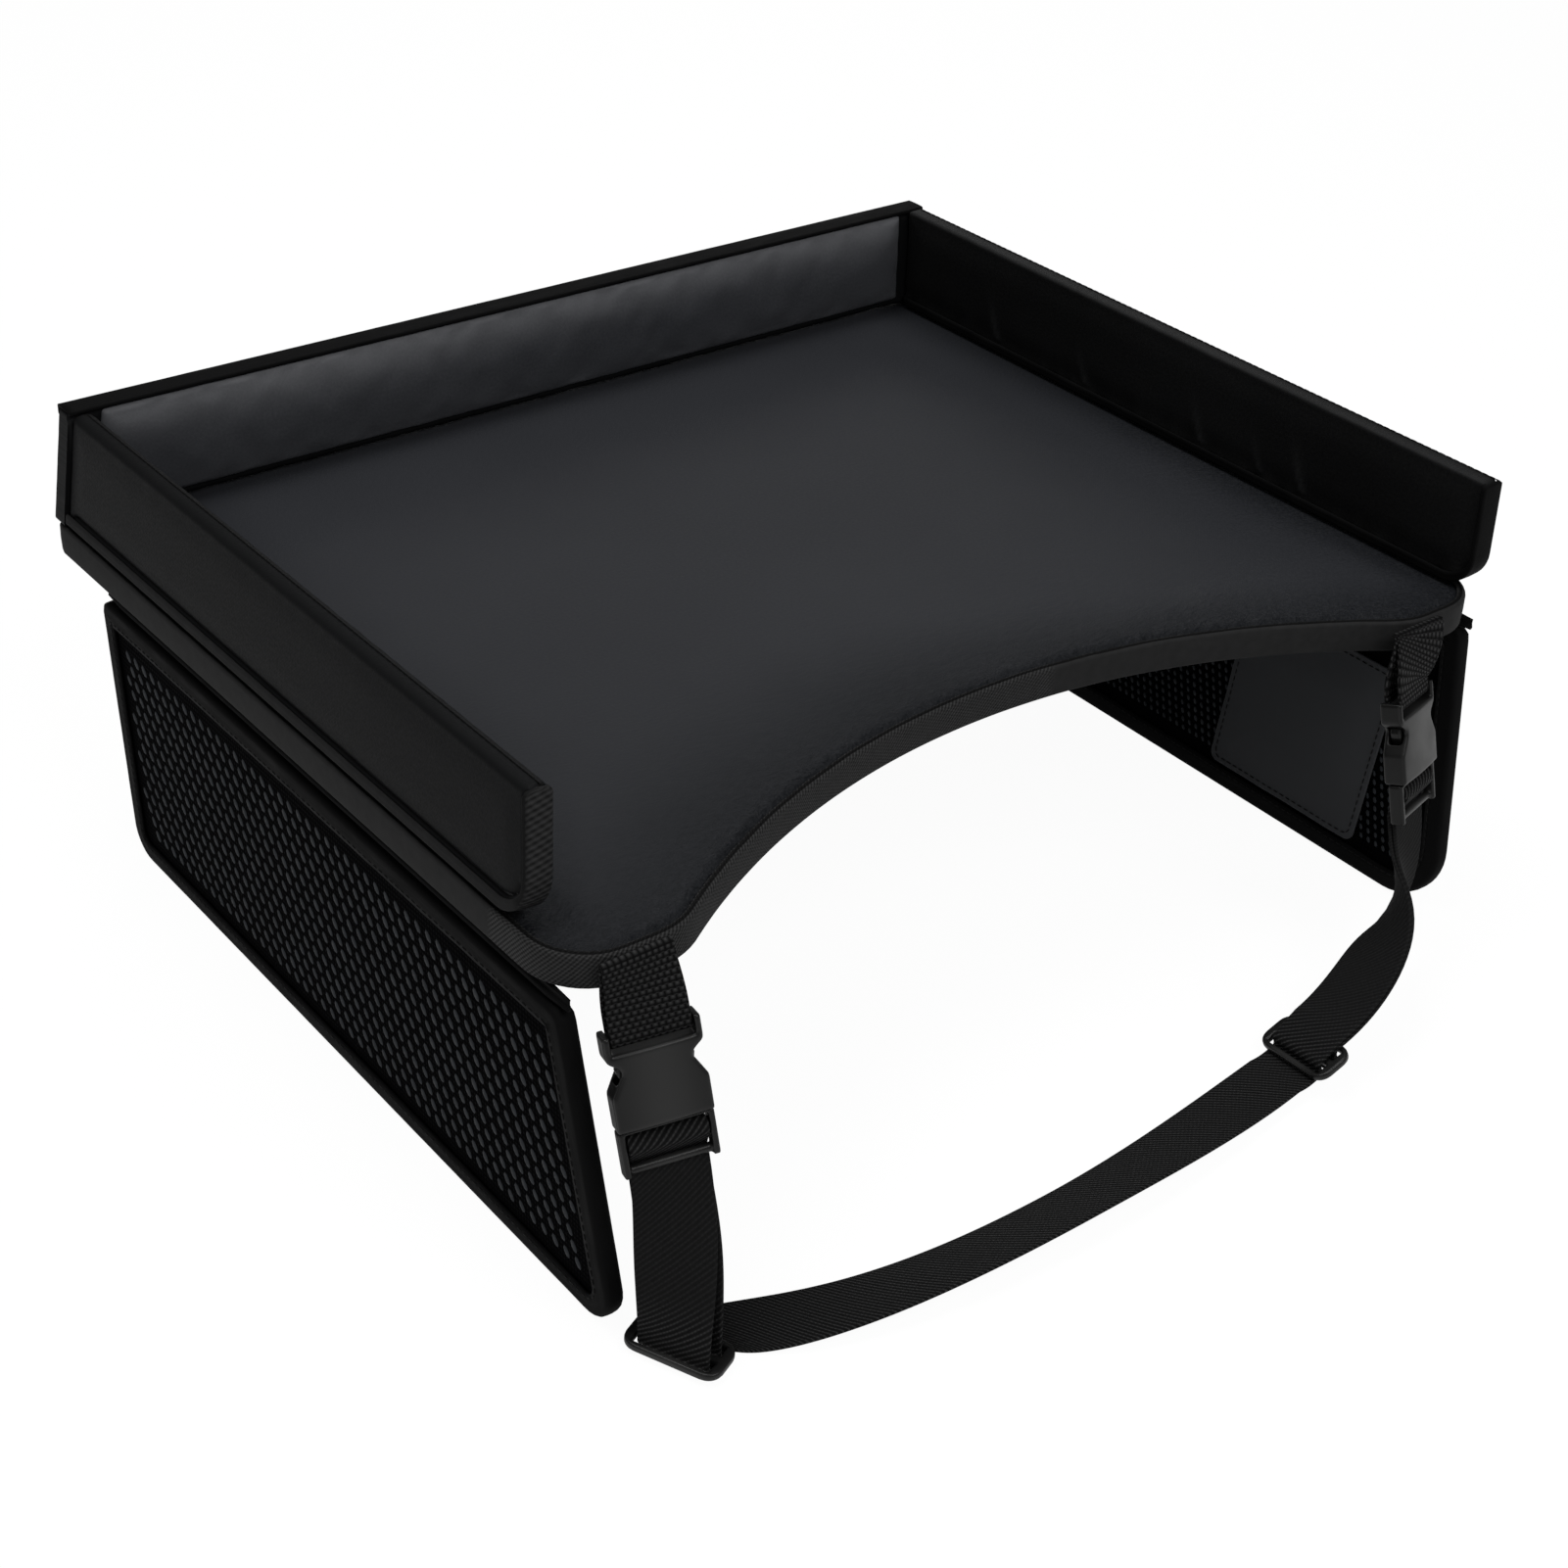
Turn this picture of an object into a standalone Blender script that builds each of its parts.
# Travel tray table for a child's car seat.
# A padded tray with a belly cut-out, three folding walls round it, a hanging pocket panel on each
# side, and a waist belt that clips to the front edge with two side-release buckles.
# Frame: X to the right, Y to the rear, Z up, in metres.  The tray stands on its two side panels,
# and the origin is at the bottom centre of the whole object's box.

import math

import bmesh
import bpy
from mathutils import Matrix, Vector

# Clearances and cloth gauges
gap = 0.0003
tape_thickness = 0.0010
cloth_thickness = 0.0010
cut_overrun = 0.0040
least_fillet = 0.0004
sew_gap = 0.0004

# Tray
tray_width = 0.4000
tray_depth = 0.3270
tray_front_radius = 0.0220
tray_rear_radius = 0.0062
strap_land = 0.0420
belly_depth = 0.0500
shoulder_radius = 0.0300
foam_thickness = 0.0030
board_thickness = 0.0037
rim_height = 0.0040
tray_tape_leg = 0.0045

# Walls round the tray
wall_height = 0.0432
wall_thickness = 0.0096
wall_board_thickness = 0.0022
wall_tape_leg = 0.0040
wall_top_radius = 0.0040
wall_front_radius = 0.0130
left_wall_lean = math.radians(8.6)
right_wall_lean = math.radians(1.9)
left_wall_setback = 0.0290
right_wall_setback = 0.0041
left_wall_rake = 0.0090
right_wall_rake = 0.0010
back_pad_crown = 0.0034
back_pad_edge = 0.0012
back_pad_margin = 0.0030

# Side panels, which hang from the tray and stand on the floor
panel_drop = 0.1238
panel_front_setback = 0.0045
panel_front_run = 0.0245
panel_rear_setback = 0.0340
panel_top_radius = 0.0040
left_front_corner = 0.0120
right_front_corner = 0.0200
panel_rear_corner = 0.0120
panel_board_thickness = 0.0016
panel_tape_leg = 0.0080
left_panel_lean = math.radians(1.9)
right_panel_lean = math.radians(8.1)
hinge_drop = 0.0036
hinge_roll_radius = 0.0015
hinge_tape_overhang = 0.0015

# Net faces and pockets of the panels
net_thickness = 0.0010
net_border = 0.0170
outer_net_columns = 16
outer_net_rows = 7
inner_net_columns = 12
inner_net_rows = 5
net_gap_share = 0.62
pocket_thickness = 0.0007
pocket_front = 0.0190
pocket_width = 0.0750
pocket_height = 0.0720
pocket_foot = 0.0095
pocket_radius = 0.0040

# Webbing
webbing_width = 0.0245
webbing_thickness = 0.0014
left_strap_inset = 0.0225
right_strap_inset = 0.0425
right_strap_skew = -0.0080
hang_lean = math.radians(17.0)
buckle_turn = math.radians(17.0)
loop_turn_share = 0.80
bar_radius = 0.0015

# Side-release buckle, measured down the strap from the tray's front edge
socket_bar_drop = 0.0225
buckle_half_width = 0.0146
buckle_thickness = 0.0080
socket_slot = 0.0026
socket_shoulder = 0.0020
waist_half_width = 0.0100
waist_drop = 0.0320
mouth_flare_drop = 0.0400
mouth_drop = 0.0510
socket_wall = 0.0024
socket_skin = 0.0016
socket_corner = 0.0022
socket_roof_drop = 0.0295
plug_clearance = 0.0004
plug_flange = 0.0011
rail_width = 0.0020
plug_bar_drop = 0.0566
lower_bar_drop = 0.0642
plug_end_drop = 0.0660
plug_edge_radius = 0.0006

# Tri-glide adjusters
glide_length = 0.0330
glide_width = 0.0160
glide_thickness = 0.0026
glide_corner = 0.0050
glide_bar = 0.0026
glide_rim = 0.0022
glide_end = 0.0035
left_glide_inset = 0.0165
left_glide_reach = 0.0355
left_glide_turn = math.radians(24.0)
left_glide_tilt = math.radians(0.0)
left_glide_roll = math.radians(0.0)
right_glide_inset = 0.1300
right_glide_reach = 0.0520
right_glide_turn = math.radians(4.0)
right_glide_tilt = math.radians(24.0)
right_glide_roll = math.radians(10.0)

# Waist belt, which rests on its rear edge on the floor in front of the tray
belt_reach = 0.0600
belt_bend_radius = 0.0165
belt_tilt = math.radians(22.0)
belt_middle_share = 0.55
left_exit_turn = math.radians(49.0)
right_exit_turn = math.radians(12.0)
left_run_shares = (0.60, 1.90)
right_run_shares = (1.00, 1.00)
belt_steps = 14
ply_steps = 14

collection_name = "car_seat_tray_table"

# Counts and angles of the rounded outlines
corner_steps = 5
belly_steps = 20
shoulder_steps = 4
fillet_step = math.radians(20.0)
round_sides = 12
eye_steps = 6

# Worked out from the sizes above
edge_inset = tape_thickness + gap
cover_under = -cloth_thickness
foam_top = cover_under - gap
foam_under = foam_top - foam_thickness
board_top = foam_under - gap
board_under = board_top - board_thickness
lining_top = board_under - gap
lining_under = lining_top - cloth_thickness
tape_top = tape_thickness
tape_under = lining_under - tape_thickness
wall_base = tape_top + gap
half_width = tray_width / 2
half_depth = tray_depth / 2
belly_half_width = half_width - strap_land
wall_rear = half_depth - wall_thickness - 2 * gap
hinge_z = tape_under - hinge_drop
net_outer_face = panel_board_thickness / 2 + gap
panel_outer_face = net_outer_face + net_thickness + gap + tape_thickness
panel_rear = half_depth - panel_rear_setback
swing_y = -half_depth - gap - webbing_thickness - sew_gap / 2
bar_reach = bar_radius + gap + webbing_thickness / 2
glide_reach = glide_thickness / 2 + gap + webbing_thickness / 2
floor_z = -panel_drop
belt_y = -half_depth - belt_reach

# Finishes: colour, roughness, metallic
finishes = {
    "coated_cloth": ((0.030, 0.033, 0.038), 0.55, 0.0),
    "wall_cloth": ((0.016, 0.017, 0.018), 0.60, 0.0),
    "net_cloth": ((0.012, 0.013, 0.015), 0.75, 0.0),
    "tape": ((0.010, 0.010, 0.011), 0.80, 0.0),
    "webbing": ((0.011, 0.011, 0.011), 0.75, 0.0),
    "buckle_plastic": ((0.018, 0.018, 0.017), 0.35, 0.0),
    "foam": ((0.200, 0.200, 0.205), 0.90, 0.0),
    "board": ((0.060, 0.060, 0.062), 0.60, 0.0),
}

# An outline drawn flat is stood up as a wall: run along Y, height along Z, thickness along X
stand_up = Matrix(((0, 0, 1, 0), (1, 0, 0, 0), (0, 1, 0, 0), (0, 0, 0, 1)))
# An outline drawn flat is stood up facing the front: width along X, height along Z
face_front = Matrix.Rotation(math.radians(90.0), 4, "X")

parts = None
cutters = None


# Scene and objects

def clear_scene():
    for item in list(bpy.data.objects):
        bpy.data.objects.remove(item)


def new_collection(name):
    collection = bpy.data.collections.new(name)
    bpy.context.scene.collection.children.link(collection)
    return collection


def new_material(name, finish):
    colour, roughness, metallic = finishes[finish]
    material = bpy.data.materials.new(name)
    material.use_nodes = True
    shader = material.node_tree.nodes["Principled BSDF"]
    shader.inputs["Base Color"].default_value = (*colour, 1.0)
    shader.inputs["Roughness"].default_value = roughness
    shader.inputs["Metallic"].default_value = metallic
    return material


def new_empty(name, parent, matrix):
    empty = bpy.data.objects.new(name, None)
    parts.objects.link(empty)
    empty.parent = parent
    empty.matrix_local = matrix
    return empty


def add_part(name, mesh, finish, parent):
    part = bpy.data.objects.new(name, mesh)
    mesh.name = name
    mesh.materials.append(new_material(name, finish))
    parts.objects.link(part)
    part.parent = parent
    return part


def add_tool(part, mesh, operation):
    tool = bpy.data.objects.new(part.name + "_" + operation.lower(), mesh)
    cutters.objects.link(tool)
    tool.parent = part.parent
    tool.hide_render = True
    tool.display_type = "WIRE"
    modifier = part.modifiers.new(operation.title(), "BOOLEAN")
    modifier.operation = operation
    modifier.solver = "EXACT"
    modifier.object = tool


def shade_round(part):
    part.data.shade_smooth()
    part.data.set_sharp_from_angle(angle=math.radians(40.0))


# Meshes

def finish_mesh(body, place, name):
    bmesh.ops.remove_doubles(body, verts=body.verts, dist=gap / 100)
    body.transform(place)
    bmesh.ops.recalc_face_normals(body, faces=body.faces)
    if body.calc_volume(signed=True) < 0.0:
        bmesh.ops.reverse_faces(body, faces=body.faces)
    mesh = bpy.data.meshes.new(name)
    body.to_mesh(mesh)
    body.free()
    return mesh


def curve_mesh(data, place):
    helper = bpy.data.objects.new(data.name, data)
    bpy.context.scene.collection.objects.link(helper)
    depsgraph = bpy.context.evaluated_depsgraph_get()
    loose = bpy.data.meshes.new_from_object(helper.evaluated_get(depsgraph))
    bpy.data.objects.remove(helper)
    body = bmesh.new()
    body.from_mesh(loose)
    bpy.data.meshes.remove(loose)
    return finish_mesh(body, place, data.name)


def flat_curve(name, loops, closed=True):
    data = bpy.data.curves.new(name, "CURVE")
    data.dimensions = "2D"
    for loop in loops:
        spline = data.splines.new("POLY")
        spline.points.add(len(loop) - 1)
        for point, spot in zip(spline.points, loop):
            point.co = (spot[0], spot[1], 0.0, 1.0)
        spline.use_cyclic_u = closed
    return data


def plate(name, loops, low, high, place=Matrix.Identity(4), edge=0.0):
    data = flat_curve(name, loops)
    data.fill_mode = "BOTH"
    data.extrude = (high - low) / 2 - edge
    if edge > 0.0:
        data.bevel_depth = edge
        data.bevel_resolution = 0
        data.offset = -edge
    return curve_mesh(data, place @ Matrix.Translation((0.0, 0.0, (low + high) / 2)))


def edge_tape(name, path, closed, low, high, leg, place=Matrix.Identity(4)):
    # A folded tape round an edge: its section is a U, open towards the inner side of the path
    section = [(0.0, low), (leg, low), (leg, low + tape_thickness)]
    section += [(tape_thickness, low + tape_thickness), (tape_thickness, high - tape_thickness)]
    section += [(leg, high - tape_thickness), (leg, high), (0.0, high)]
    profile = bpy.data.objects.new(name, flat_curve(name, [section]))
    bpy.context.scene.collection.objects.link(profile)
    data = flat_curve(name, [path], closed)
    data.fill_mode = "NONE"
    data.bevel_mode = "OBJECT"
    data.bevel_object = profile
    data.use_fill_caps = not closed
    mesh = curve_mesh(data, place)
    bpy.data.objects.remove(profile)
    return mesh


def frame_tape(name, corners, low, high, leg, place, parent):
    # A folded tape right round a flat panel: a ring with a slot cut round its inner side
    ring = plate(name, [rounded(corners), rounded(corners, leg)], low, high, place)
    tape = add_part(name, ring, "tape", parent)
    slot = plate(name + "_slot", [rounded(corners, tape_thickness)], low + tape_thickness,
                 high - tape_thickness, place)
    add_tool(tape, slot, "DIFFERENCE")


def rod(name, radius, length, place):
    body = bmesh.new()
    bmesh.ops.create_cone(body, cap_ends=True, segments=round_sides, radius1=radius,
                          radius2=radius, depth=length)
    return finish_mesh(body, place, name)


def box(name, low, high):
    body = bmesh.new()
    size = [b - a for a, b in zip(low, high)]
    middle = [(a + b) / 2 for a, b in zip(low, high)]
    bmesh.ops.create_cube(body, size=1.0)
    place = Matrix.Translation(middle) @ Matrix.Diagonal((*size, 1.0))
    return finish_mesh(body, place, name)


def band(name, stations, closed, place=Matrix.Identity(4)):
    # Flat webbing along stations of centre, width direction and thickness direction
    body = bmesh.new()
    rings = []
    for centre, across, through in stations:
        wide = across * webbing_width / 2
        thick = through * webbing_thickness / 2
        spots = (centre - wide - thick, centre + wide - thick,
                 centre + wide + thick, centre - wide + thick)
        rings.append([body.verts.new(spot) for spot in spots])
    pairs = list(zip(rings, rings[1:]))
    if closed:
        pairs.append((rings[-1], rings[0]))
    for ring, following in pairs:
        for k in range(4):
            n = (k + 1) % 4
            body.faces.new((ring[k], ring[n], following[n], following[k]))
    if not closed:
        body.faces.new(rings[0][::-1])
        body.faces.new(rings[-1])
    bmesh.ops.triangulate(body, faces=body.faces)
    return finish_mesh(body, place, name)


# Outlines, all drawn clockwise so that the inner side lies to the right of the path

def arc(centre, radius, start, end, steps):
    turns = [start + (end - start) * k / steps for k in range(steps + 1)]
    return [(centre[0] + radius * math.cos(a), centre[1] + radius * math.sin(a)) for a in turns]


def fillet(before, corner, after, radius):
    into = (corner - before).normalized()
    out = (after - corner).normalized()
    turn = into.angle(out)
    if radius <= 0.0 or turn < math.radians(1.0):
        return [tuple(corner)]
    side = 1.0 if into.x * out.y - into.y * out.x > 0.0 else -1.0
    reach = radius * math.tan(turn / 2)
    start = corner - into * reach
    centre = start + Vector((-into.y, into.x)) * side * radius
    steps = max(2, round(turn / fillet_step))
    arm = start - centre
    return [tuple(centre + Matrix.Rotation(side * turn * k / steps, 2) @ arm)
            for k in range(steps + 1)]


def offset_corners(corners, inset):
    count = len(corners)
    spots = [Vector(corner[:2]) for corner in corners]
    moved = []
    for k in range(count):
        before, here, after = spots[k - 1], spots[k], spots[(k + 1) % count]
        into = (here - before).normalized()
        out = (after - here).normalized()
        normal_in = Vector((into.y, -into.x))
        normal_out = Vector((out.y, -out.x))
        bisector = (normal_in + normal_out).normalized()
        shift = inset / max(bisector.dot(normal_in), least_fillet)
        radius = corners[k][2]
        if radius > 0.0:
            radius = max(radius - inset, least_fillet)
        moved.append((*(here + bisector * shift), radius))
    return moved


def rounded(corners, inset=0.0):
    moved = offset_corners(corners, inset)
    spots = [Vector(corner[:2]) for corner in moved]
    outline = []
    for k, corner in enumerate(moved):
        outline += fillet(spots[k - 1], spots[k], spots[(k + 1) % len(spots)], corner[2])
    return outline


def rounded_path(corners):
    # An open path: its two ends stay square
    spots = [Vector(corner[:2]) for corner in corners]
    path = [tuple(spots[0])]
    for k in range(1, len(corners) - 1):
        path += fillet(spots[k - 1], spots[k], spots[k + 1], corners[k][2])
    return path + [tuple(spots[-1])]


def tray_outline(inset):
    belly_radius = (belly_half_width ** 2 + belly_depth ** 2) / (2 * belly_depth)
    belly_y = -half_depth + belly_depth - belly_radius
    shoulder_y = -half_depth + shoulder_radius
    reach = belly_radius + shoulder_radius
    shoulder_x = math.sqrt(reach ** 2 - (shoulder_y - belly_y) ** 2)
    lean = math.atan2(shoulder_y - belly_y, shoulder_x)
    right, down, left, up = 0.0, -math.pi / 2, math.pi, math.pi / 2
    rear, front = tray_rear_radius, tray_front_radius
    outline = arc((-half_width + rear, half_depth - rear), rear - inset, left, up, corner_steps)
    outline += arc((half_width - rear, half_depth - rear), rear - inset, up, right, corner_steps)
    outline += arc((half_width - front, -half_depth + front), front - inset, right, down,
                   corner_steps)
    outline += arc((shoulder_x, shoulder_y), shoulder_radius - inset, down, lean - left,
                   shoulder_steps)
    outline += arc((0.0, belly_y), belly_radius + inset, lean, left - lean, belly_steps)[1:-1]
    outline += arc((-shoulder_x, shoulder_y), shoulder_radius - inset, -lean, down,
                   shoulder_steps)
    outline += arc((-half_width + front, -half_depth + front), front - inset, down, -left,
                   corner_steps)
    return outline


# The tray

def tape_land(name, low, high):
    # The margin under the edge tape, cut back so that the face inside it stands clear of the tape
    margin = [tray_outline(-cut_overrun), tray_outline(tray_tape_leg + gap)]
    return plate(name, margin, low, high)


def wall_land(name):
    # The strips of the top cover under the three walls, cut back in the same way
    left = wall_thickness / math.cos(left_wall_lean) + 2 * gap
    right = wall_thickness / math.cos(right_wall_lean) + 2 * gap
    rear = half_depth - wall_thickness - 2 * gap
    outer_x, outer_y = half_width + cut_overrun, half_depth + cut_overrun
    strips = [Vector((-outer_x, -outer_y)), Vector((-outer_x, outer_y)), Vector((outer_x, outer_y)),
              Vector((outer_x, -outer_y)), Vector((half_width - right, -outer_y)),
              Vector((half_width - right, rear)), Vector((left - half_width, rear)),
              Vector((left - half_width, -outer_y))]
    return plate(name, [strips], -gap, cut_overrun)


def build_tray(tray):
    cover_rim = -rim_height - cloth_thickness
    cover = add_part("tray_top_cover", plate("tray_top_cover", [tray_outline(edge_inset)],
                                             cover_rim, 0.0), "coated_cloth", tray)
    inside = tray_outline(edge_inset + cloth_thickness)
    add_tool(cover, plate("cover_inside", [inside], cover_rim - cut_overrun, cover_under),
             "DIFFERENCE")
    add_tool(cover, tape_land("cover_margin", -gap, cut_overrun), "DIFFERENCE")
    add_tool(cover, wall_land("wall_margin"), "DIFFERENCE")
    lining_rim = cover_rim - gap
    lining = add_part("tray_underside_lining",
                      plate("tray_underside_lining", [tray_outline(edge_inset)],
                            lining_under, lining_rim), "wall_cloth", tray)
    add_tool(lining, plate("lining_inside", [inside], lining_top, lining_rim + cut_overrun),
             "DIFFERENCE")
    add_tool(lining, tape_land("lining_margin", lining_under - cut_overrun, lining_under + gap),
             "DIFFERENCE")
    core = tray_outline(edge_inset + cloth_thickness + gap)
    add_part("tray_foam_pad", plate("tray_foam_pad", [core], foam_under, foam_top), "foam", tray)
    add_part("tray_board", plate("tray_board", [core], board_under, board_top), "board", tray)
    add_part("tray_edge_binding",
             edge_tape("tray_edge_binding", tray_outline(0.0), True, tape_under, tape_top,
                       tray_tape_leg), "tape", tray)


# Walls: run measured from the rear end towards the front, height up from the fold

def wall_layers(name, cover_corners, place, empty, open_ends):
    low = edge_inset
    high = wall_thickness - edge_inset
    cover = add_part(name + "_cover", plate(name + "_cover", [rounded(cover_corners)], low, high,
                                            place), "wall_cloth", empty)
    inside = offset_corners(cover_corners, cloth_thickness)
    opened = [(run + out * cut_overrun, height + up * cut_overrun, radius)
              for (run, height, radius), (out, up) in zip(inside, open_ends)]
    add_tool(cover, plate(name + "_inside", [rounded(opened)], low + cloth_thickness,
                          high - cloth_thickness, place), "DIFFERENCE")
    core = [rounded(cover_corners, cloth_thickness + gap)]
    board_low = low + cloth_thickness + gap
    board_high = board_low + wall_board_thickness
    add_part(name + "_board", plate(name + "_board", core, board_low, board_high, place),
             "board", empty)
    add_part(name + "_foam", plate(name + "_foam", core, board_high + gap,
                                   high - cloth_thickness - gap, place), "foam", empty)


def build_side_wall(side, tray):
    name = "left_wall" if side < 0 else "right_wall"
    lean = left_wall_lean if side < 0 else right_wall_lean
    setback = left_wall_setback if side < 0 else right_wall_setback
    rake = left_wall_rake if side < 0 else right_wall_rake
    turn = 0.0 if side < 0 else math.pi
    place = Matrix.Translation((side * half_width, 0.0, wall_base))
    place = place @ Matrix.Rotation(turn, 4, "Z") @ Matrix.Rotation(lean, 4, "Y")
    empty = new_empty(name + "_fold", tray, place)
    # Run is measured from the rear end; it points to -Y in the left wall's own frame
    along = Matrix.Translation((0.0, -side * wall_rear, 0.0))
    along = along @ Matrix.Diagonal((1.0, side, 1.0, 1.0)) @ stand_up
    foot = gap + wall_thickness * math.tan(lean)
    top_run = wall_rear + half_depth - setback
    foot_run = top_run + rake
    cover_corners = [(0.0, wall_height, least_fillet),
                     (top_run - edge_inset, wall_height, wall_top_radius - edge_inset),
                     (foot_run - edge_inset, foot + edge_inset, wall_front_radius - edge_inset),
                     (0.0, foot + edge_inset, 0.0)]
    open_ends = [(0, 0), (1, 0), (1, -1), (0, -1)]
    wall_layers(name, cover_corners, along, empty, open_ends)
    top_end = wall_height - least_fillet
    tape_path = rounded_path([(top_run, top_end, 0.0), (foot_run, foot, wall_front_radius),
                              (0.0, foot, 0.0)])
    add_part(name + "_binding", edge_tape(name + "_binding", tape_path, False, 0.0,
                                          wall_thickness, wall_tape_leg, along), "tape", empty)


def crowned_pad(name, corners, back, edge, crown, place):
    # A coarse cage for Subdivision: flat back, front swelling from a thin edge to the crown
    columns, rows = 10, 3
    (left, top), (right, _), (right_foot, foot), (left_foot, _) = corners
    body = bmesh.new()

    def spot(column, row, front):
        u, v = column / columns, row / rows
        run = (left_foot + (right_foot - left_foot) * u) * (1 - v) + (left + (right - left) * u) * v
        height = foot + (top - foot) * v
        if not front:
            return run, height, back
        swell = (1 - (2 * u - 1) ** 6) * (1 - (2 * v - 1) ** 4)
        return run, height, back + edge + (crown - edge) * swell

    sheets = []
    for front in (False, True):
        sheets.append([[body.verts.new(spot(c, r, front)) for r in range(rows + 1)]
                       for c in range(columns + 1)])
    for sheet in sheets:
        for c in range(columns):
            for r in range(rows):
                body.faces.new((sheet[c][r], sheet[c + 1][r], sheet[c + 1][r + 1],
                                sheet[c][r + 1]))
    rim = [(c, 0) for c in range(columns)] + [(columns, r) for r in range(rows)]
    rim += [(c, rows) for c in range(columns, 0, -1)] + [(0, r) for r in range(rows, 0, -1)]
    for (c, r), (d, s) in zip(rim, rim[1:] + rim[:1]):
        body.faces.new((sheets[0][c][r], sheets[0][d][s], sheets[1][d][s], sheets[1][c][r]))
    return finish_mesh(body, place, name)


def build_back_wall(tray):
    place = Matrix.Translation((0.0, half_depth, wall_base))
    place = place @ Matrix.Rotation(-math.pi / 2, 4, "Z")
    empty = new_empty("back_wall_fold", tray, place)
    left_top = -half_width + wall_height * math.tan(left_wall_lean)
    right_top = half_width - wall_height * math.tan(right_wall_lean)
    cover_top = wall_height - edge_inset
    left_cover = -half_width + cover_top * math.tan(left_wall_lean)
    right_cover = half_width - cover_top * math.tan(right_wall_lean)
    cover_corners = [(left_cover, cover_top, 0.0), (right_cover, cover_top, 0.0),
                     (half_width, gap, least_fillet), (-half_width, gap, least_fillet)]
    open_ends = [(0, 1), (0, 1), (0, 0), (0, 0)]
    wall_layers("back_wall", cover_corners, stand_up, empty, open_ends)
    tape_path = [(left_top, wall_height), (right_top, wall_height)]
    add_part("back_wall_binding", edge_tape("back_wall_binding", tape_path, False, 0.0,
                                            wall_thickness, wall_tape_leg, stand_up),
             "tape", empty)
    inner_face = wall_thickness - edge_inset + gap
    foot = gap + back_pad_margin
    top = wall_height - wall_tape_leg - gap
    left_stop = -half_width + wall_thickness + back_pad_margin
    right_stop = half_width - wall_thickness - back_pad_margin
    pad_corners = [(left_stop + top * math.tan(left_wall_lean), top),
                   (right_stop - top * math.tan(right_wall_lean), top),
                   (right_stop, foot), (left_stop + foot * math.tan(left_wall_lean), foot)]
    pad = add_part("back_wall_pad", crowned_pad("back_wall_pad", pad_corners, inner_face,
                                                back_pad_edge, back_pad_crown, stand_up),
                   "coated_cloth", empty)
    soft = pad.modifiers.new("Soft form", "SUBSURF")
    soft.levels = 1
    soft.render_levels = 1
    shade_round(pad)


# Side panels: run measured from the rear edge towards the front, height down from the hinge

def net_gaps(run_top, run_foot, top, foot, columns, rows):
    # Staggered lozenge gaps in rows that follow the raked front edge
    loops = []
    pitch_up = (top - foot - 2 * net_border) / rows
    for row in range(rows):
        height = foot + net_border + pitch_up * (row + 0.5)
        share = (top - height) / (top - foot)
        reach = run_top + (run_foot - run_top) * share
        pitch = (reach - 2 * net_border) / columns
        stagger = row % 2
        for column in range(columns - stagger):
            run = net_border + pitch * (column + (1 + stagger) / 2)
            wide = pitch * net_gap_share / 2
            tall = pitch_up * net_gap_share / 2
            loops.append([(run + wide, height), (run, height - tall),
                          (run - wide, height), (run, height + tall)])
    return loops


def hinge_tape(name, side, run, tray):
    # A sewn tape that hangs from the tray's edge and ends in a round cord, the panel's axis
    drop = hinge_drop - gap
    half = tape_thickness / 2
    bead = hinge_roll_radius
    shoulder = math.asin(half / bead)
    outline = [(-half, drop), (half, drop)]
    outline += arc((0.0, 0.0), bead, math.pi / 2 - shoulder, -1.5 * math.pi + shoulder,
                   round_sides - 2)
    low = -half_depth + panel_front_setback - hinge_tape_overhang
    place = Matrix.Translation((side * (half_width - panel_outer_face), 0.0, hinge_z))
    lay = Matrix.Rotation(math.pi / 2, 4, "X")
    mesh = plate(name, [outline], -(low + run), -low, place @ lay)
    add_part(name, mesh, "tape", tray)


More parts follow.
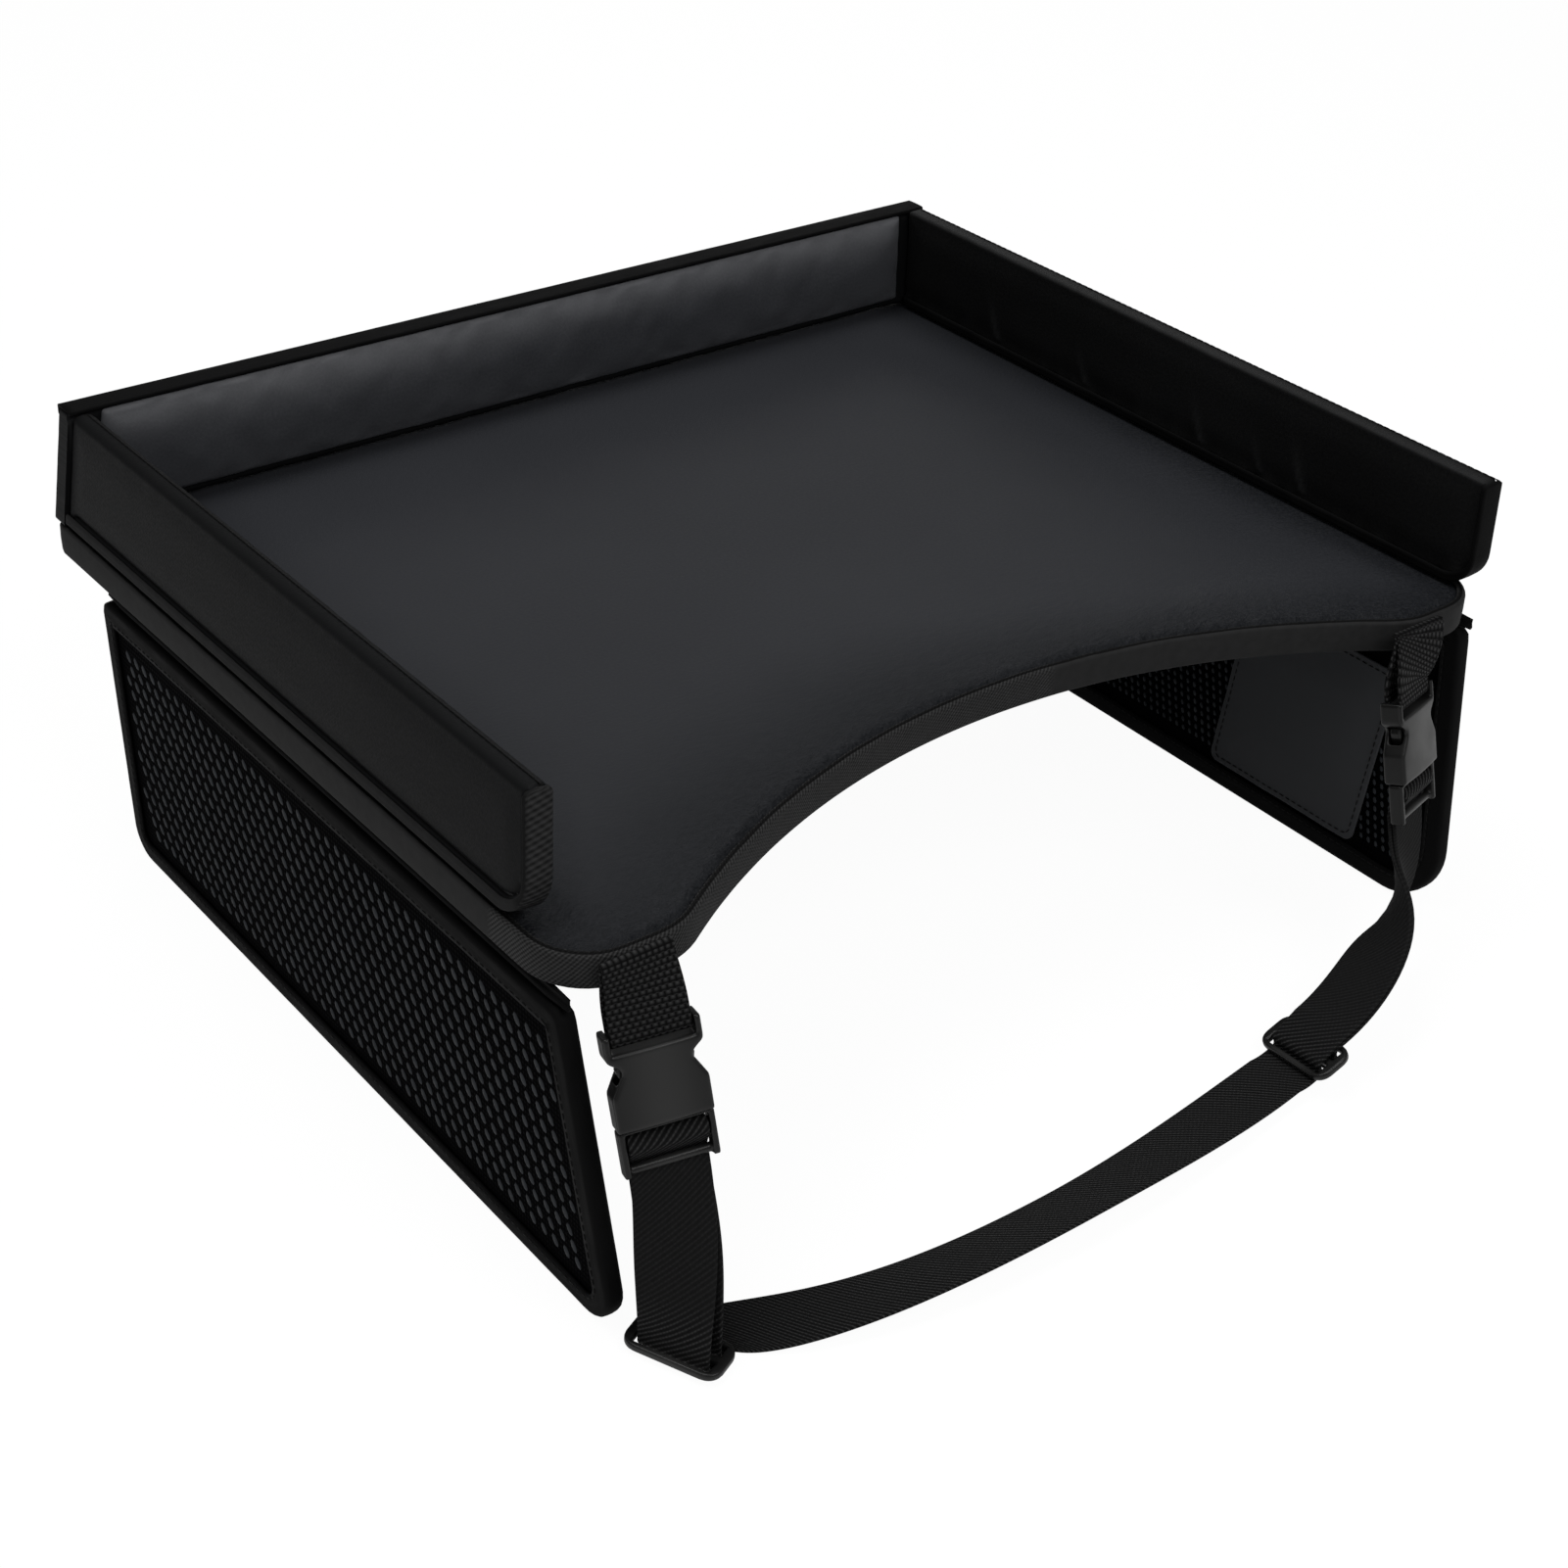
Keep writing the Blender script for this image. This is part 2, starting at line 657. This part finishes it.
def build_panel(side, tray):
    name = "left_panel" if side < 0 else "right_panel"
    lean = left_panel_lean if side < 0 else right_panel_lean
    front_corner = left_front_corner if side < 0 else right_front_corner
    turn = 0.0 if side < 0 else math.pi
    place = Matrix.Translation((side * (half_width - panel_outer_face), 0.0, hinge_z))
    place = place @ Matrix.Rotation(turn, 4, "Z") @ Matrix.Rotation(-lean, 4, "Y")
    empty = new_empty(name + "_fold", tray, place)
    along = Matrix.Translation((0.0, -side * panel_rear, 0.0))
    along = along @ Matrix.Diagonal((1.0, side, 1.0, 1.0)) @ stand_up
    top = -hinge_roll_radius - gap
    foot = -(panel_drop + hinge_z - panel_outer_face * math.sin(lean)) / math.cos(lean)
    run_top = panel_rear + half_depth - panel_front_setback
    run_foot = run_top + panel_front_run
    corners = [(0.0, top, panel_top_radius), (run_top, top, panel_top_radius),
               (run_foot, foot, front_corner), (0.0, foot, panel_rear_corner)]
    half_board = panel_board_thickness / 2
    inner = [rounded(corners, edge_inset)]
    add_part(name + "_board", plate(name + "_board", inner, -half_board, half_board, along),
             "board", empty)
    outer_low = -net_outer_face - net_thickness
    outer_net = inner + net_gaps(run_top, run_foot, top, foot, outer_net_columns, outer_net_rows)
    add_part(name + "_outer_net", plate(name + "_outer_net", outer_net, outer_low,
                                        -net_outer_face, along), "net_cloth", empty)
    inner_high = net_outer_face + net_thickness
    inner_net = inner + net_gaps(run_top, run_foot, top, foot, inner_net_columns, inner_net_rows)
    add_part(name + "_inner_net", plate(name + "_inner_net", inner_net, net_outer_face,
                                        inner_high, along), "net_cloth", empty)
    tape_low = outer_low - gap - tape_thickness
    tape_high = inner_high + gap + tape_thickness
    frame_tape(name + "_binding", corners, tape_low, tape_high, panel_tape_leg, along, empty)
    pocket_stop = run_top - pocket_front
    pocket_low = foot + pocket_foot
    pocket_corners = [(pocket_stop - pocket_width, pocket_low + pocket_height, pocket_radius),
                      (pocket_stop, pocket_low + pocket_height, pocket_radius),
                      (pocket_stop, pocket_low, pocket_radius),
                      (pocket_stop - pocket_width, pocket_low, pocket_radius)]
    pocket_face = inner_high + gap
    add_part(name + "_pocket", plate(name + "_pocket", [rounded(pocket_corners)], pocket_face,
                                     pocket_face + pocket_thickness, along), "wall_cloth", empty)
    hinge_tape(name + "_hinge_tape", side, run_top, tray)


# Strap frames, in the tray's own frame: X across the webbing, Y towards its back, Z up the strap

def swing_matrix():
    return Matrix.Translation((0.0, swing_y, 0.0)) @ Matrix.Rotation(-hang_lean, 4, "X")


def strap_x(side):
    inset = left_strap_inset if side < 0 else right_strap_inset
    return side * (half_width - inset)


def strap_skew(side):
    return 0.0 if side < 0 else right_strap_skew


def buckle_matrix(side):
    spot = (strap_x(side) + strap_skew(side), 0.0, 0.0)
    return Matrix.Translation(spot) @ Matrix.Rotation(side * buckle_turn, 4, "Z")


def belt_height(tilt):
    # Height of the belt's centre line where its rear edge rests on the floor
    return floor_z + webbing_thickness / 2 + webbing_width / 2 * math.sin(tilt)


def glide_matrix(side):
    if side < 0:
        inset, reach, roll = left_glide_inset, left_glide_reach, left_glide_roll
        turn, tilt = left_glide_turn, left_glide_tilt
    else:
        inset, reach, roll = right_glide_inset, right_glide_reach, right_glide_roll
        turn, tilt = right_glide_turn, right_glide_tilt
    rise = glide_width / 2 * math.sin(tilt) + glide_reach * math.cos(roll) * math.cos(tilt)
    rise += belt_bend_radius * (1 - math.cos(tilt))
    z = belt_height(roll) + rise
    spot = (side * (half_width - inset), -half_depth - reach, z)
    return (Matrix.Translation(spot) @ Matrix.Rotation(side * (math.pi / 2 - turn), 4, "Z")
            @ Matrix.Rotation(-tilt, 4, "X") @ Matrix.Rotation(roll, 4, "Y"))


# Webbing paths: lists of centre and width direction

def along_band(path, closed):
    # Stations square to the path, each with its width and thickness directions
    stations = []
    count = len(path)
    for k, (centre, across) in enumerate(path):
        before = path[k - 1][0] if closed or k else centre
        after = path[(k + 1) % count][0] if closed or k < count - 1 else centre
        forward = (after - before).normalized()
        across = (across - forward * forward.dot(across)).normalized()
        stations.append((centre, across, forward.cross(across)))
    return stations


def placed(frame, spots):
    across = (frame.to_3x3() @ Vector((1.0, 0.0, 0.0))).normalized()
    return [(frame @ Vector((0.0, y, z)), across) for y, z in spots]


def bend(centre, radius, start, end, steps=eye_steps):
    return arc(centre, radius, start, end, steps)


def ply(start, start_way, end, end_way, steps):
    # A hanging ply between two placed spots; its width direction turns over on the way
    reach = (end[0] - start[0]).length
    path = []
    for k in range(1, steps):
        t = k / steps
        spot = (start[0] * (2 * t ** 3 - 3 * t ** 2 + 1) + end[0] * (3 * t ** 2 - 2 * t ** 3)
                + start_way * reach * (t ** 3 - 2 * t ** 2 + t)
                + end_way * reach * (t ** 3 - t ** 2))
        share = t * t * (3 - 2 * t)
        path.append((spot, start[1].lerp(end[1], share).normalized()))
    return path


def loop_path(side):
    # A closed loop from the tray's edge round the socket's bar
    path = []
    top_half = (sew_gap + webbing_thickness) / 2
    steps = ply_steps // 2

    def slice_at(share, offset):
        reach = min(1.0, share / loop_turn_share)
        ease = reach * reach * (3 - 2 * reach)
        frame = Matrix.Translation((strap_x(side) + strap_skew(side) * ease, 0.0, 0.0))
        frame = frame @ Matrix.Rotation(side * buckle_turn * ease, 4, "Z")
        half = top_half + (bar_reach - top_half) * ease
        return placed(frame, [(offset * half, -socket_bar_drop * share)])

    for k in range(steps):
        path += slice_at(k / steps, -1)
    path += placed(buckle_matrix(side),
                   bend((0.0, -socket_bar_drop), bar_reach, -math.pi, 0.0))
    for k in range(steps - 1, -1, -1):
        path += slice_at(k / steps, 1)
    top = Matrix.Translation((strap_x(side), 0.0, 0.0))
    path += placed(top, bend((0.0, 0.0), top_half, 0.0, math.pi, 4)[1:-1])
    return path


def side_path(side):
    # From the tail end under the tri-glide's middle bar, up round the ladder bar and down again
    buckle = swing_matrix() @ buckle_matrix(side)
    glide = glide_matrix(side)
    slot = (glide_bar + glide_width - 2 * glide_rim) / 4
    down = -(buckle.to_3x3() @ Vector((0.0, 0.0, 1.0)))
    tilted = side > 0
    tail = [(glide_bar / 2, -glide_reach)]
    tail += bend((glide_reach - slot, 0.0), glide_reach, -math.pi / 2, -math.pi)
    if tilted:
        # Here the plies come in almost flat, over the near rim of the glide
        tail += bend((-slot - glide_reach, 0.0), glide_reach, 0.0, math.pi / 2)[1:]
        tail.append((-glide_width / 2 - gap, glide_reach))
        into = [(-glide_width / 2 - gap, glide_reach + webbing_thickness + 2 * gap)]
        into += bend((slot - glide_reach, 0.0), glide_reach, math.pi / 2, 0.0)
        arrive = (glide.to_3x3() @ Vector((0.0, 1.0, 0.0))).normalized()
    else:
        tail.append((-slot, glide_thickness))
        into = [(slot, glide_thickness), (slot, 0.0)]
        arrive = -(glide.to_3x3() @ Vector((0.0, 0.0, 1.0))).normalized()
    out = bend((slot + glide_reach, 0.0), glide_reach, math.pi, 1.5 * math.pi)[1:]
    out.append((glide_width / 2, -glide_reach))
    cross = math.asin(2 * bar_reach / (lower_bar_drop - plug_bar_drop))
    eye = [(bar_reach, -plug_end_drop)]
    eye += bend((0.0, -lower_bar_drop), bar_reach, 0.0, cross, 2)
    eye += bend((0.0, -plug_bar_drop), bar_reach, cross + math.pi, math.pi, 2)
    eye += bend((0.0, -plug_bar_drop), bar_reach, math.pi, 0.0)[1:]
    behind = bar_reach + webbing_thickness + gap
    eye += [(behind, -lower_bar_drop), (behind, -plug_end_drop)]
    tail = placed(glide, tail)
    eye = placed(buckle, eye)
    into = placed(glide, into)
    path = tail + ply(tail[-1], -arrive, eye[0], -down, ply_steps) + eye
    path += ply(eye[-1], down, into[0], arrive, ply_steps) + into + placed(glide, out)
    if tilted:
        path += flatten(glide, path[-1])
    return path


def flatten(glide, last):
    # The belt leaves a tilted glide and bends until it runs level
    up = Vector((0.0, 0.0, 1.0))
    toward = (glide.to_3x3() @ Vector((0.0, 1.0, 0.0))).normalized()
    level = Vector((toward.x, toward.y, 0.0)).normalized()
    slope = toward.angle(level)
    centre = last[0] + up * belt_bend_radius * math.cos(slope)
    centre += level * belt_bend_radius * math.sin(slope)
    path = []
    for k in range(1, eye_steps + 1):
        left = slope * (1 - k / eye_steps)
        spot = centre - level * belt_bend_radius * math.sin(left)
        spot -= up * belt_bend_radius * math.cos(left)
        across = Matrix.Rotation(slope - left, 3, level.cross(up)) @ last[1]
        path.append((spot, across))
    return path


def heading(across, skew):
    # Run direction of webbing that lies askew by this angle
    level = Vector((across.x, across.y, 0.0)).normalized()
    return Matrix.Rotation(-skew, 3, "Z") @ Vector((0.0, 0.0, 1.0)).cross(level)


def floor_run(start, end, skews, shares):
    # Stations with the rear edge on the floor and the front edge raised; the webbing lies askew
    # near a glide and squares up farther off
    up = Vector((0.0, 0.0, 1.0))
    reach = (end[0] - start[0]).length
    way_in = heading(start[1], skews[0]) * reach * shares[0]
    way_out = heading(end[1], skews[1]) * reach * shares[1]
    stations = []
    for k in range(1, belt_steps):
        t = k / belt_steps
        late = 3 * t ** 2 - 2 * t ** 3
        spot = (start[0] * (1 - late) + end[0] * late + way_in * (t ** 3 - 2 * t ** 2 + t)
                + way_out * (t ** 3 - t ** 2))
        way = ((end[0] - start[0]) * (6 * t - 6 * t ** 2) + way_in * (3 * t ** 2 - 4 * t + 1)
               + way_out * (3 * t ** 2 - 2 * t))
        skew = skews[0] * (1 - t) ** 3 + skews[1] * t ** 3
        tilt = math.asin(start[1].z) * (1 - late) + math.asin(end[1].z) * late
        ahead = Vector((way.x, way.y, 0.0)).normalized()
        level = Matrix.Rotation(skew, 3, "Z") @ ahead.cross(up)
        across = level * math.cos(tilt) + up * math.sin(tilt)
        spot.z = belt_height(tilt)
        stations.append((spot, across, ahead.cross(across).normalized()))
    return stations


def belt_stations():
    left = along_band(side_path(-1), False)
    right = along_band([(spot, -across) for spot, across in reversed(side_path(1))], False)
    start, end = left[-1][0].x, right[0][0].x
    spot = Vector((start + (end - start) * belt_middle_share, belt_y, belt_height(belt_tilt)))
    across = Vector((0.0, -math.cos(belt_tilt), math.sin(belt_tilt)))
    middle = (spot, across, Vector((1.0, 0.0, 0.0)).cross(across))
    stations = left + floor_run(left[-1], middle, (left_exit_turn, 0.0), left_run_shares)
    stations.append(middle)
    stations += floor_run(middle, right[0], (0.0, -right_exit_turn), right_run_shares)
    return stations + right


# Buckles and tri-glides

def mirrored(half):
    return half + [(-x, y) for x, y in reversed(half)]


def build_socket(side, parent):
    name = "left_buckle_socket" if side < 0 else "right_buckle_socket"
    top = socket_bar_drop - bar_radius
    seat = socket_bar_drop + bar_radius + socket_slot
    inner = buckle_half_width - rail_width
    corners = [(inner, -top, 0.0), (inner, -seat, 0.0), (-inner, -seat, 0.0),
               (-inner, -top, 0.0), (-buckle_half_width, -top, 0.0),
               (-buckle_half_width, -seat - socket_shoulder, socket_corner),
               (-waist_half_width, -waist_drop, socket_corner),
               (-buckle_half_width, -mouth_flare_drop, socket_corner),
               (-buckle_half_width, -mouth_drop, 0.0),
               (buckle_half_width, -mouth_drop, 0.0),
               (buckle_half_width, -mouth_flare_drop, socket_corner),
               (waist_half_width, -waist_drop, socket_corner),
               (buckle_half_width, -seat - socket_shoulder, socket_corner),
               (buckle_half_width, -top, 0.0)]
    half = buckle_thickness / 2
    body = plate(name, [rounded(corners)], -half, half, face_front, plug_edge_radius)
    socket = add_part(name, body, "buckle_plastic", parent)
    bar = rod(name + "_bar", bar_radius, 2 * inner + rail_width,
              Matrix.Translation((0.0, 0.0, -socket_bar_drop))
              @ Matrix.Rotation(math.pi / 2, 4, "Y"))
    add_tool(socket, bar, "UNION")
    room = buckle_half_width - socket_wall
    depth = half - socket_skin
    add_tool(socket, box(name + "_room", (-room, -depth, -mouth_drop - cut_overrun),
                         (room, depth, -socket_roof_drop)), "DIFFERENCE")
    shade_round(socket)
    return socket


# The plug's tongue and one sprung arm: shares of the half width and of the depth from the mouth
tongue_shares = [(0.00, 0.84), (0.15, 0.84), (0.21, 0.78), (0.21, 0.24)]
arm_shares = [(0.70, 0.24), (0.61, 0.46), (0.66, 0.70), (0.74, 0.90), (0.84, 0.965),
              (0.95, 0.94), (1.00, 0.85), (0.97, 0.77), (0.85, 0.66), (0.82, 0.50),
              (0.91, 0.34), (1.00, 0.24)]


def build_plug(side, parent):
    name = "left_buckle_plug" if side < 0 else "right_buckle_plug"
    half_room = buckle_half_width - socket_wall - plug_clearance
    depth = mouth_drop - socket_roof_drop
    half_core = buckle_thickness / 2 - socket_skin - plug_clearance
    flange_top = mouth_drop + gap
    flange_foot = flange_top + plug_flange
    half = [(x * half_room, y * depth - mouth_drop) for x, y in tongue_shares[1:] + arm_shares]
    half.append((half_room, -flange_foot + plug_edge_radius / 2))
    core = plate(name, [mirrored(half)], -half_core, half_core, face_front)
    plug = add_part(name, core, "buckle_plastic", parent)
    inner = buckle_half_width - rail_width
    corners = [(-buckle_half_width, -flange_top, 0.0), (-buckle_half_width, -plug_end_drop, 0.0),
               (-inner, -plug_end_drop, 0.0), (-inner, -flange_foot, 0.0),
               (inner, -flange_foot, 0.0), (inner, -plug_end_drop, 0.0),
               (buckle_half_width, -plug_end_drop, 0.0), (buckle_half_width, -flange_top, 0.0)]
    half_ladder = half_core + plug_edge_radius
    ladder = plate(name + "_ladder", [rounded(corners)], -half_ladder, half_ladder, face_front,
                   least_fillet)
    add_tool(plug, ladder, "UNION")
    for number, drop in enumerate((plug_bar_drop, lower_bar_drop)):
        bar = rod(name + "_bar_" + str(number), bar_radius, 2 * inner + rail_width,
                  Matrix.Translation((0.0, 0.0, -drop)) @ Matrix.Rotation(math.pi / 2, 4, "Y"))
        add_tool(plug, bar, "UNION")
    shade_round(plug)
    return plug


def build_glide(side, parent):
    name = "left_tri_glide" if side < 0 else "right_tri_glide"
    long_half, wide_half = glide_length / 2, glide_width / 2
    frame = [(-long_half, wide_half, glide_corner), (long_half, wide_half, glide_corner),
             (long_half, -wide_half, glide_corner), (-long_half, -wide_half, glide_corner)]
    slot_low, slot_high = glide_bar / 2, wide_half - glide_rim
    slot_long = long_half - glide_end
    loops = [rounded(frame)]
    for way in (-1, 1):
        loops.append([(-slot_long, way * slot_low), (-slot_long, way * slot_high),
                      (slot_long, way * slot_high), (slot_long, way * slot_low)])
    half = glide_thickness / 2
    body = plate(name, loops, -half, half, edge=least_fillet)
    glide = add_part(name, body, "buckle_plastic", parent)
    shade_round(glide)
    return glide


def build_harness(root):
    swing = new_empty("strap_swing", root, swing_matrix())
    release = new_empty("buckle_release", swing, Matrix.Identity(4))
    to_release = swing_matrix().inverted()
    for side, word in ((-1, "left"), (1, "right")):
        name = word + "_webbing_loop"
        loop = band(name, along_band(loop_path(side), True), True)
        add_part(name, loop, "webbing", swing)
        holder = new_empty(word + "_buckle", swing, buckle_matrix(side))
        build_socket(side, holder)
        holder = new_empty(word + "_plug_seat", release, buckle_matrix(side))
        build_plug(side, holder)
        holder = new_empty(word + "_glide_seat", release, to_release @ glide_matrix(side))
        build_glide(side, holder)
    webbing = band("belt_webbing", belt_stations(), False, to_release)
    add_part("belt_webbing", webbing, "webbing", release)


def stand_on_origin(tray):
    # The middle of the whole object's underside comes to the world's origin
    depsgraph = bpy.context.evaluated_depsgraph_get()
    spots = []
    for part in parts.objects:
        if part.type == "MESH":
            mesh = part.evaluated_get(depsgraph).to_mesh()
            spots += [part.matrix_world @ vertex.co for vertex in mesh.vertices]
    low = [min(spot[k] for spot in spots) for k in range(3)]
    high = [max(spot[k] for spot in spots) for k in range(3)]
    tray.location = (-(low[0] + high[0]) / 2, -(low[1] + high[1]) / 2, -low[2])


def main():
    global parts, cutters
    clear_scene()
    parts = new_collection(collection_name)
    cutters = new_collection("cutters")
    tray = new_empty("tray", None, Matrix.Identity(4))
    build_tray(tray)
    for side in (-1, 1):
        build_side_wall(side, tray)
        build_panel(side, tray)
    build_back_wall(tray)
    build_harness(tray)
    stand_on_origin(tray)


main()
